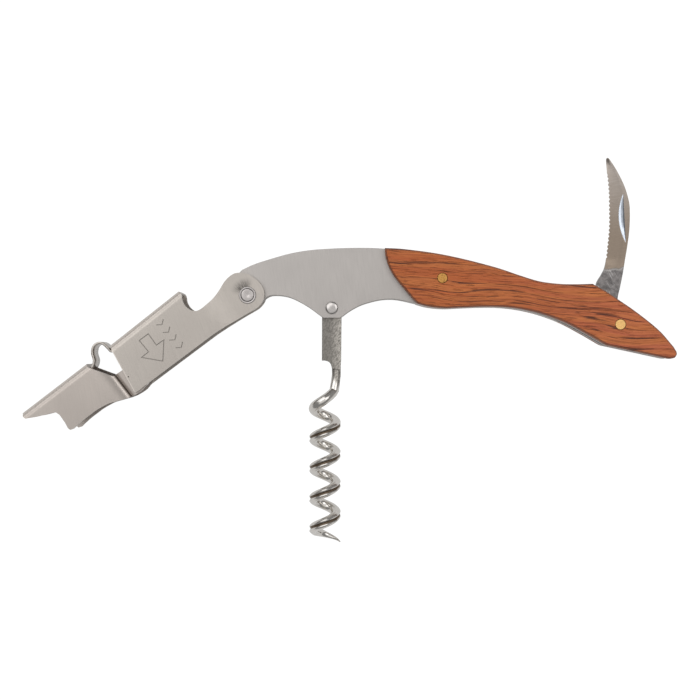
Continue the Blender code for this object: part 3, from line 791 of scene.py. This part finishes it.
def red_wood(name, drift):
    """Oiled orange-brown wood: broken dark pore lines that drift across the length, over soft bands, with
    painted shade on its edges.
    """
    orange = (0.565, 0.139, 0.036)
    shade = Shade(name, orange, 0.0, 0.45)
    shade.fix("Specular IOR Level", 0.3)
    place = shade.place(angle=drift)
    along, across, through = shade.axes(place)
    sway = shade.noise(place, (18.0, 9.0, 9.0), 1.0)
    bent = shade.maths("ADD", across, shade.times(sway, 3.2))
    grain = shade.add("CombineXYZ", {"X": along, "Y": bent, "Z": through})
    bands = shade.noise(grain, (45.0, 1.7, 3.0), 2.0, 0.55)
    fibres = shade.noise(grain, (6.0, 0.2, 0.5), 3.0, 0.6)
    rows = shade.noise(grain, (48.0, 1.5, 2.6), 1.0, 0.4)
    breaks = shade.noise(grain, (6.0, 0.6, 0.9), 2.0)
    pores = shade.noise(grain, (3.6, 0.11, 0.6), 1.0, 0.4)
    streaks = shade.noise(grain, (30.0, 0.7, 1.2), 3.0, 0.6)
    greyer = shade.spread(along, -20.0, 40.0, 0.0, 0.9)
    base = shade.mix(greyer, orange, (0.60, 0.157, 0.072))
    banded = shade.mix(shade.spread(bands, 0.35, 0.65, 0.0, 0.85), base, (0.68, 0.215, 0.058))
    fibrous = shade.mix(shade.spread(fibres, 0.3, 0.7, 0.0, 0.5), banded, (0.29, 0.064, 0.02))
    streaky = shade.mix(shade.spread(streaks, 0.5, 0.7, 0.0, 0.6), fibrous, (0.21, 0.046, 0.018))
    lines = shade.times(contour(shade, rows, 0.034), shade.spread(breaks, 0.4, 0.5))
    broken = shade.times(lines, shade.spread(fibres, 0.33, 0.53, 0.42, 1.0))
    lined = shade.mix(shade.times(broken, 0.95), streaky, (0.075, 0.020, 0.010))
    fewer = shade.spread(along, -5.0, 25.0, 0.85, 0.4)
    porous = shade.times(shade.spread(pores, 0.64, 0.72), fewer)
    pored = shade.mix(porous, lined, (0.085, 0.024, 0.014))
    # Painted shade: darker where the surface turns away from facing straight up, on the chamfer and the
    # walls.
    painted_edge_shade = shade.spread(shade.upright(), 0.75, 0.97, 0.6, 0.0)
    shade.paint(shade.mix(painted_edge_shade, pored, (0.16, 0.07, 0.045)))
    shade.use("Roughness", shade.spread(fibres, 0.3, 0.7, 0.38, 0.52))
    deep = shade.maths("MAXIMUM", broken, shade.spread(pores, 0.62, 0.72))
    shade.bump(shade.maths("SUBTRACT", shade.times(fibres, 0.25), deep), 0.06, 0.8)
    return shade


def speckled_brass(name, colour, speckle):
    """Brass filed flush, with fine file marks and dull specks."""
    shade = Shade(name, colour, 1.0, 0.34)
    filed = shade.noise(shade.place(angle=25.0), (1.6, 0.1, 1.0), 2.0)
    specks = shade.noise(shade.place(), (0.35, 0.35, 0.35), 2.0)
    marked = shade.mix(filed, tinted(colour, 0.85), tinted(colour, 1.12))
    shade.paint(shade.mix(shade.spread(specks, 0.5, 0.66, 0.0, speckle), marked, tinted(colour, 0.45)))
    shade.use("Roughness", shade.spread(specks, 0.3, 0.7, 0.28, 0.5))
    shade.bump(filed, 0.004)
    return shade


# ---- handle


def wood_edges():
    """The edges that scales and liners share: along the top, round the tail and back below."""
    return [spline(WOOD_TOP), spline(TAIL_TOP), spline(TAIL_TIP), [TAIL_CORNER], spline(WOOD_BOTTOM)]


def liners(steel):
    """The two steel plates, each with a narrow recess around the worm's rivet."""
    outline = joined(spline(HEAD_TOP), *wood_edges(), spline(HEAD_BOTTOM), WORM_LOBE, spline(HEAD_NOSE))
    places = [(LEVER_AXIS, LEVER_SHAFT + RUN), (WORM_AXIS, WORM_SHAFT + RUN),
              (SCALE_PIN_AT, SCALE_SHAFT + RUN), (BLADE_AXIS, BLADE_SHAFT + RUN)]
    for node, side in (("front_liner", 1), ("back_liner", -1)):
        low, high = sorted((side * GAP, side * LINER_OUT))
        liner = plate("brushed_" + node, outline, rounded_rims(low, high, PLATE_EDGE), steel)
        near, far = sorted((side * (LINER_OUT - RECESS), side * REACH))
        ring = collar("recess", circle(WORM_AXIS, DOME_RADIUS + RECESS), circle(WORM_AXIS, WORM_SHAFT),
                      near, far)
        carved(liner, bores(places) + [ring])
        put(liner, "handle", "brushed_steel", node)


def scales(wood):
    """Wooden scales with a chamfered outer edge and a hair of room around each pin."""
    outline = joined(*wood_edges(), spline(WOOD_START))
    holes = [(SCALE_PIN_AT, SCALE_SHAFT + PIN_CLEARANCE), (BLADE_AXIS, BLADE_SHAFT + PIN_CLEARANCE)]
    layers = [(0.0, SCALE_IN)] + [(side, FACE - drop) for side, drop in SCALE_EDGE]
    for node, side in (("front_scale", 1), ("back_scale", -1)):
        levels = [(edge, side * height) for edge, height in layers][::side]
        scale = carved(plate("wooden_" + node, outline, levels, wood), bores(holes))
        put(scale, "handle", "red_wood", node)


def pins(steel, dull_brass, light_brass):
    """Flush pins with a softened rim, and the worm's rivet with its domed heads."""
    for name, node, centre, radius, brass in (
            ("dull_pin", "scale_pin", SCALE_PIN_AT, SCALE_SHAFT, dull_brass),
            ("light_pin", "blade_pin", BLADE_AXIS, BLADE_SHAFT, light_brass)):
        rims = rounded_rims(-FACE, FACE, PIN_EDGE)
        put(turned(name, centre, [(height, radius - side) for side, height in rims], brass),
            "handle", "brass", node)
    dome = [(LINER_OUT + RUN + DOME_RISE * math.sin(turn), DOME_RADIUS * math.cos(turn))
            for turn in (math.pi / 2 * step / CURVE_STEPS for step in range(CURVE_STEPS))]
    low = [(-height, radius) for height, radius in reversed(dome)]
    shaft = [(-LINER_OUT, WORM_SHAFT), (LINER_OUT, WORM_SHAFT)]
    rivet = turned("domed_worm_rivet", WORM_AXIS, low + shaft + dome, steel)
    put(rivet, "handle", "bright_steel", "worm_rivet")


def lever_rivet(steel):
    """A turned rivet: a shallow dished face, a thin groove and a bright ring that sits on the ear."""
    top = [(EAR_OUT + height, radius) for height, radius in RING_PROFILE]
    bottom = [(-height, radius) for height, radius in reversed(top)]
    shaft = [(-EAR_OUT, LEVER_SHAFT), (EAR_OUT, LEVER_SHAFT)]
    rivet = turned("turned_lever_rivet", LEVER_AXIS, bottom + shaft + top, steel)
    put(rivet, "lever_pivot", "bright_steel", "lever_rivet")


# ---- levers


def channel(name, spine_at, angle, sections, depth, outline, material):
    """A folded sheet channel cut to an outline: each section is (distance along the spine, half width)."""
    along = direction(angle)
    inwards = -left_of(along)
    loops = []
    for distance, half_width in sections:
        outer = [(depth, half_width)]
        inner = [(depth, half_width - SHEET)]
        tighter = BEND - SHEET
        for step in range(CURVE_STEPS + 1):
            turn = math.pi / 2 * step / CURVE_STEPS
            reach_in = 1 - math.sin(turn)
            reach_out = 1 - math.cos(turn)
            outer.append((BEND * reach_in, half_width - BEND * reach_out))
            inner.append((SHEET + tighter * reach_in, half_width - SHEET - tighter * reach_out))
        half = outer + [(deep, -across) for deep, across in reversed(outer)]
        half += [(deep, -across) for deep, across in inner] + list(reversed(inner))
        here = Vector(spine_at) + distance * along
        loops.append([(*(here + deep * inwards), MIDDLE + across) for deep, across in half])
    folded = build(name, *loft(loops), material)
    return carved(folded, [prism("outline", outline, -REACH, REACH)], "INTERSECT")


def joggle(start, stop, from_half, to_half):
    """Sections over which a channel's half width eases from one value to another."""
    shares = [step / CURVE_STEPS for step in range(CURVE_STEPS + 1)]
    return [(start + (stop - start) * share, from_half + (to_half - from_half) * smooth_step(share))
            for share in shares]


def stroke(points):
    """The outline of an open engraved line of even width."""
    points = [Vector(point) for point in points]
    sides = [(point, ENGRAVED_WIDTH / 2 * left_of(tangent(points, index)))
             for index, point in enumerate(points)]
    return [point + side for point, side in sides] + [point - side for point, side in reversed(sides)]


def chevron(centre):
    """A plain chevron that points along the row, standing across it."""
    along = direction(CHEVRON_ANGLE)
    length, half_height = CHEVRON_SIZE
    ends = [centre - length / 2 * along + side * half_height * left_of(along) for side in (1, -1)]
    return [ends[0], centre + length / 2 * along, ends[1]]


def engravings(dirt):
    """Cutters for the marks in the front cheek, which leave their own dark finish in the cuts."""
    floor = CHEEK_OUT - ENGRAVED_DEPTH
    arrow = joined(ARROW)
    half = ENGRAVED_WIDTH / 2
    cutters = [collar("arrow", inset(arrow, -half), inset(arrow, half), floor, REACH)]
    for index in range(CHEVRON_COUNT):
        centre = Vector(CHEVRONS_AT) + index * CHEVRON_STEP * direction(CHEVRON_ANGLE)
        cutters.append(prism("chevron", joined(stroke(chevron(centre))), floor, REACH))
    cutters += bores([(PIT_AT, PIT_RADIUS)], CHEEK_OUT - 2 * ENGRAVED_DEPTH)
    for cutter in cutters:
        cutter.data.materials.append(dirt)
    return cutters


def upper_lever(steel, dirt):
    outline = joined(spline(LEVER_NOTCH), LEVER_OPEN_EDGE, [LEVER_END], BEYOND_LEVER)
    axis = (LEVER_AXIS - Vector(LEVER_SPINE_AT)).dot(direction(LEVER_ANGLE))
    sections = [(LEVER_RUN[0], CHEEK_OUT)]
    sections += joggle(axis - EAR_JOGGLE[0], axis - EAR_JOGGLE[1], CHEEK_OUT, EAR_OUT)
    sections.append((LEVER_RUN[1], EAR_OUT))
    lever = channel("brushed_upper_lever", LEVER_SPINE_AT, LEVER_ANGLE, sections, LEVER_DEPTH, outline,
                    steel)
    carved(lever, bores([(LEVER_AXIS, LEVER_SHAFT + RUN)]))
    eased(lever, CUT_EDGE)
    carved(lever, engravings(dirt))
    put(lever, "upper_lever", "brushed_steel", "upper_lever")


def elbow_rivets(steel):
    """Stub rivets that end just under the cheeks, whose ends are ground over and don't show outside."""
    inner = LUG_OUT - SHEET - 2 * RUN
    profile = [(inner + rise, radius) for rise, radius in STUB_PROFILE]
    profile.append((CHEEK_OUT - SHEET / 2, ELBOW_SHAFT))
    for node, side in (("elbow_rivet_front", 1), ("elbow_rivet_back", -1)):
        levels = [(side * height, radius) for height, radius in profile][::side]
        put(turned("stub_" + node, ELBOW_AXIS, levels, steel), "upper_lever", "bright_steel", node)


def lower_lever(steel):
    outline = joined(BEYOND_FOOT, spline(FOOT_TIP), FOOT_STEP, spline(FOOT_LOWER), spline(LUG), [FOOT_END])
    elbow = (ELBOW_AXIS - Vector(FOOT_SPINE_AT)).dot(direction(FOOT_ANGLE))
    falls = [(elbow - off, CHEEK_OUT - drop) for off, drop in LUG_STEPS] + [(elbow - LUG_FROM, LUG_OUT)]
    sections = [(FOOT_RUN[0], CHEEK_OUT)]
    for (start, from_half), (stop, to_half) in zip(falls, falls[1:]):
        sections += joggle(start, stop, from_half, to_half)[:-1]
    sections += [falls[-1], (FOOT_RUN[1], LUG_OUT)]
    foot = channel("brushed_lower_lever", FOOT_SPINE_AT, FOOT_ANGLE, sections, FOOT_DEPTH, outline, steel)
    carved(foot, bores([(ELBOW_AXIS, ELBOW_SHAFT + RUN)]))
    eased(foot, CUT_EDGE)
    put(foot, "lower_lever", "brushed_steel", "lower_lever")


def leaf_spring(steel):
    """The bent strip that joins the levers."""
    path = spline(SPRING_PATH)
    half = SPRING_SHEET / 2
    soft = half - SPRING_CORNER
    wide = SPRING_HALF - SPRING_CORNER
    section = [(half, wide), (soft, SPRING_HALF), (-soft, SPRING_HALF), (-half, wide),
               (-half, -wide), (-soft, -SPRING_HALF), (soft, -SPRING_HALF), (half, -wide)]
    loops = []
    for index, point in enumerate(path):
        side = left_of(tangent(path, index))
        loops.append([(*(point + out * side), MIDDLE + across) for out, across in section])
    strip = smoothed(build("bent_leaf_spring", *loft(loops), steel), CORNER_ANGLE)
    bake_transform(strip)
    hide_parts("leaf_spring")


# ---- worm and blade


def worm_path():
    """Centre line, wire radius and flute depth: a straight neck, the helix and a taper to the point."""
    path = [(WORM_NECK_X, height, MIDDLE) for height in WORM_NECK_Y]
    radii = [WORM_NECK] * len(path)
    flutes = [0.0] * len(path)
    for step in range(round(FIRST_TURN * WORM_STEPS), round(WORM_TURNS * WORM_STEPS) + 1):
        turn = step / WORM_STEPS
        angle = 2 * math.pi * turn
        lead = WORM_LEAD_IN * max(0.0, 1 - 2 * turn) ** 2
        thin = min(1.0, WORM_POINT + (WORM_TURNS - turn) / WORM_TAPER)
        radii.append(WORM_WIRE * thin * min(1.0, WORM_START + WORM_GROWTH * turn))
        flutes.append(FLUTE_DEPTH * smooth_step((turn - FLUTE_FROM_TURN) / GROWS_OVER) * thin)
        reach = WORM_OUTER - WORM_WIRE * thin
        path.append((WORM_X + reach * math.cos(angle), WORM_START_Y + lead - WORM_PITCH * turn,
                     MIDDLE + reach * math.sin(angle) * min(1.0, turn / OPENS_OVER)))
    return [Vector(point) for point in path], radii, flutes


def worm_wire(steel, painted_crease_shade):
    """The wire with its flute, which runs along the outside of the turns and carries painted shade."""
    path, radii, flutes = worm_path()
    loops = []
    for index, point in enumerate(path):
        along = tangent(path, index)
        outwards = point - Vector((WORM_X, point.y, MIDDLE))
        outwards = (outwards - outwards.dot(along) * along).normalized()
        third = along.cross(outwards)
        loop = []
        for side in range(WORM_SIDES):
            angle = 2 * math.pi * side / WORM_SIDES
            off = min(angle, 2 * math.pi - angle) / FLUTE_ANGLE
            radius = radii[index] * (1 - flutes[index] * max(0.0, 1 - off * off))
            loop.append(point + radius * (math.cos(angle) * outwards + math.sin(angle) * third))
        loops.append(loop)
    wire = build("wire", *loft(loops), steel)
    # Painted shade in the flute groove, on the faces along the outside of the turns.
    wire.data.materials.append(painted_crease_shade)
    rows = [row for row, flute in enumerate(flutes[1:]) if flute > FLUTE_DEPTH / 2]
    for row in rows:
        for column in (0, 1, WORM_SIDES - 2, WORM_SIDES - 1):
            wire.data.polygons[row * WORM_SIDES + column].material_index = 1
    return wire


def worm(steel, painted_crease_shade):
    eye = arc(WORM_AXIS, WORM_EYE, 0, 180, EYE_STEPS)
    outline = joined(eye, spline(WORM_STEP[:5], 4), WORM_STEP[5:])
    rims = rounded_rims(-SHANK_HALF, SHANK_HALF, PLATE_EDGE)
    shank = plate("fluted_worm", outline, rims, steel)
    carved(shank, [worm_wire(steel, painted_crease_shade)], "UNION")
    carved(shank, bores([(WORM_AXIS, WORM_SHAFT + RUN)]))
    put(shank, "worm", "bright_steel", "worm")


def crossing(curve, height):
    """X where a rising curve passes a height."""
    for start, stop in zip(curve, curve[1:]):
        if start.y <= height <= stop.y:
            return start.x + (stop.x - start.x) * (height - start.y) / max(1e-6, stop.y - start.y)
    return curve[-1].x if height > curve[-1].y else curve[0].x


def tooth(height):
    """How far the cutting edge is cut back at this height by its row of small teeth."""
    fade = smooth_step((height - TEETH_FROM) / TEETH_FADE) * smooth_step((TEETH_TO - height) / TEETH_FADE)
    return TOOTH_DEPTH * fade * (1 - abs(math.sin(math.pi * height / TOOTH_PITCH)))


def blade_half_thickness(height, share):
    """Half the thickness: full on the tang, ground thinner above it and towards the cutting edge."""
    wedge = min(1.0, share / GRIND_WIDTH)
    ground = EDGE_HALF + (GROUND_HALF - EDGE_HALF) * wedge
    return BLADE_HALF + (ground - BLADE_HALF) * smooth_step((height - GRIND_FROM) / GRIND_RUN)


def blade(steel, pressed):
    edge = spline(BLADE_EDGE)
    spine = spline(BLADE_SPINE)
    low, high = edge[0].y, edge[-1].y
    rows = round((high - low) / BLADE_ROW)
    loops = []
    for row in range(rows + 1):
        height = low + (high - low) * row / rows
        left = crossing(edge, height)
        right = crossing(spine, height)
        cut_back = tooth(height) / (right - left)
        shares = [cut_back + (1 - cut_back) * column / BLADE_COLUMNS for column in range(BLADE_COLUMNS + 1)]
        front = [(left + (right - left) * share, height, MIDDLE + blade_half_thickness(height, share))
                 for share in shares]
        back = [(x, y, 2 * MIDDLE - z) for x, y, z in reversed(front)]
        loops.append(front + back)
    made = build("serrated_blade", *loft(loops), steel)
    carved(made, [nail_nick(edge, spine, pressed)])
    put(made, "blade", "blade_steel", "blade")


def nail_nick(edge, spine, pressed):
    """A crescent cutter whose floor slopes from its curved side down to a steep straight side."""
    top = Vector(NICK_TOP)
    bottom = Vector(NICK_BOTTOM)
    loops = []
    for step in range(NICK_STEPS + 1):
        share = step / NICK_STEPS
        straight = bottom + (top - bottom) * share
        bulge = NICK_BULGE * max(NICK_POINT, math.sin(math.pi * share) ** NICK_FULLNESS)
        left = crossing(edge, straight.y)
        width = crossing(spine, straight.y) - left
        loop = [(x, straight.y, MIDDLE + BLADE_HALF) for x in (straight.x, straight.x - bulge)]
        for across, deep in NICK_PROFILE:
            x = straight.x - across * bulge
            face = blade_half_thickness(straight.y, (x - left) / width)
            loop.append((x, straight.y, MIDDLE + face - deep * bulge))
        loops.append(loop)
    return build("nail_nick", *loft(loops), pressed)


# ---- stage


def carried_over(material, slot, *nodes):
    """Gives a finish to CAD nodes whose shape is already right."""
    for node in nodes:
        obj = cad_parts[node]
        obj.data.materials.clear()
        obj.data.materials.append(material)


def seen_or_reflected(tree, seen, reflected):
    """One brightness for what is looked at directly, and another for its light and reflections."""
    ray = tree.nodes.new("ShaderNodeLightPath")
    share = tree.nodes.new("ShaderNodeMapRange")
    share.inputs["To Min"].default_value = reflected
    share.inputs["To Max"].default_value = seen
    tree.links.new(ray.outputs["Is Camera Ray"], share.inputs["Value"])
    return share.outputs["Result"]


def floor():
    """A plain pale floor under the part, bright enough that it takes next to no shadow."""
    height = cad_box[0][2] - FLOOR_GAP
    corners = [(x * FLOOR_HALF, y * FLOOR_HALF, height) for x, y in ((-1, -1), (1, -1), (1, 1), (-1, 1))]
    mesh = bpy.data.meshes.new("floor")
    mesh.from_pydata(corners, [], [(0, 1, 2, 3)])
    shade = Shade("white_floor", (0.1, 0.1, 0.1), 0.0, 0.9)
    shade.fix("Emission Color", (1.0, 1.0, 1.0, 1.0))
    shade.use("Emission Strength", seen_or_reflected(shade.tree, FLOOR_SEEN, FLOOR_REFLECTED))
    mesh.materials.append(shade.material)
    linked("floor", mesh)


def soft_box(name, place, size, watts):
    """A square area light that looks at the part."""
    light = bpy.data.lights.new(name, "AREA")
    light.size = size
    light.energy = watts
    obj = linked(name, light)
    obj.location = place
    target = Vector((CAMERA_AT[0], CAMERA_AT[1], 0.0)) * UNIT
    obj.rotation_euler = (target - obj.location).to_track_quat("-Z", "Y").to_euler()


def studio():
    scene = bpy.context.scene
    world = bpy.data.worlds.new("studio")
    world.use_nodes = True
    background = world.node_tree.nodes["Background"]
    background.inputs["Color"].default_value = (1.0, 1.0, 1.0, 1.0)
    brightness = seen_or_reflected(world.node_tree, WORLD_SEEN, WORLD_REFLECTED)
    world.node_tree.links.new(brightness, background.inputs["Strength"])
    scene.world = world
    soft_box("overhead", (-0.05, 0.0, 1.1), 1.6, 4.6)
    soft_box("key", (-0.6, 0.6, 0.9), 1.3, 5.4)
    soft_box("fill", (0.62, 0.28, 0.8), 0.7, 2.0)
    scene.view_settings.view_transform = "Standard"


def camera():
    data = bpy.data.cameras.new("camera")
    data.lens = LENS
    data.clip_start = 0.01
    obj = linked("camera", data)
    obj.location = Vector(CAMERA_AT) * UNIT
    bpy.context.scene.camera = obj


def main():
    plate_steel = brushed_steel("head_brushed_steel", (0.478, 0.449, 0.427), 97.0).material
    inner_steel = brushed_steel("inner_steel", (0.45, 0.42, 0.39), 10.0).material
    lever = lever_steel("lever_brushed_steel", (0.49, 0.45, 0.411), 112.0).material
    foot = foot_steel("foot_brushed_steel", (0.473, 0.426, 0.39), 100.0).material
    engraved = Shade("engraved_steel", (0.32, 0.295, 0.27), 1.0, 0.5).material
    # Painted shade for the worm's flute and the lever rivet's groove.
    painted_crease_shade = Shade("flute_painted_shade", (0.16, 0.12, 0.085), 1.0, 0.4).material
    polished = bright_steel("polished_steel", (0.56, 0.53, 0.51), 0.24).material
    turned_steel = rivet_steel("turned_steel", (0.54, 0.505, 0.49)).material
    wire = worm_steel("worm_steel", (0.75, 0.72, 0.68), (0.28, 0.262, 0.238)).material
    pressed = bright_steel("pressed_steel", (0.47, 0.51, 0.57), 0.16).material
    spring = bright_steel("spring_steel", (0.52, 0.48, 0.44), 0.24).material
    wood = red_wood("red_wood", -5.0).material
    dull_brass = speckled_brass("dull_brass", (0.60, 0.31, 0.088), 0.7).material
    light_brass = speckled_brass("light_brass", (0.84, 0.52, 0.20), 0.15).material

    liners(plate_steel)
    scales(wood)
    pins(polished, dull_brass, light_brass)
    lever_rivet(turned_steel)
    upper_lever(lever, engraved)
    elbow_rivets(polished)
    lower_lever(foot)
    leaf_spring(spring)
    worm(wire, painted_crease_shade)
    blade(blade_steel("blade_steel").material, pressed)
    carried_over(inner_steel, "brushed_steel", "head_spacer", "tail_spacer")
    carried_over(inner_steel, "spring_steel", "blade_spring")
    carried_over(inner_steel, "bright_steel", "lever_bush")
    carried_over(polished, "bright_steel", "lever_washer_front", "lever_washer_back", "spring_rivet")
    carried_over(light_brass, "brass", "blade_washer_front", "blade_washer_back")
    floor()
    studio()
    camera()


main()
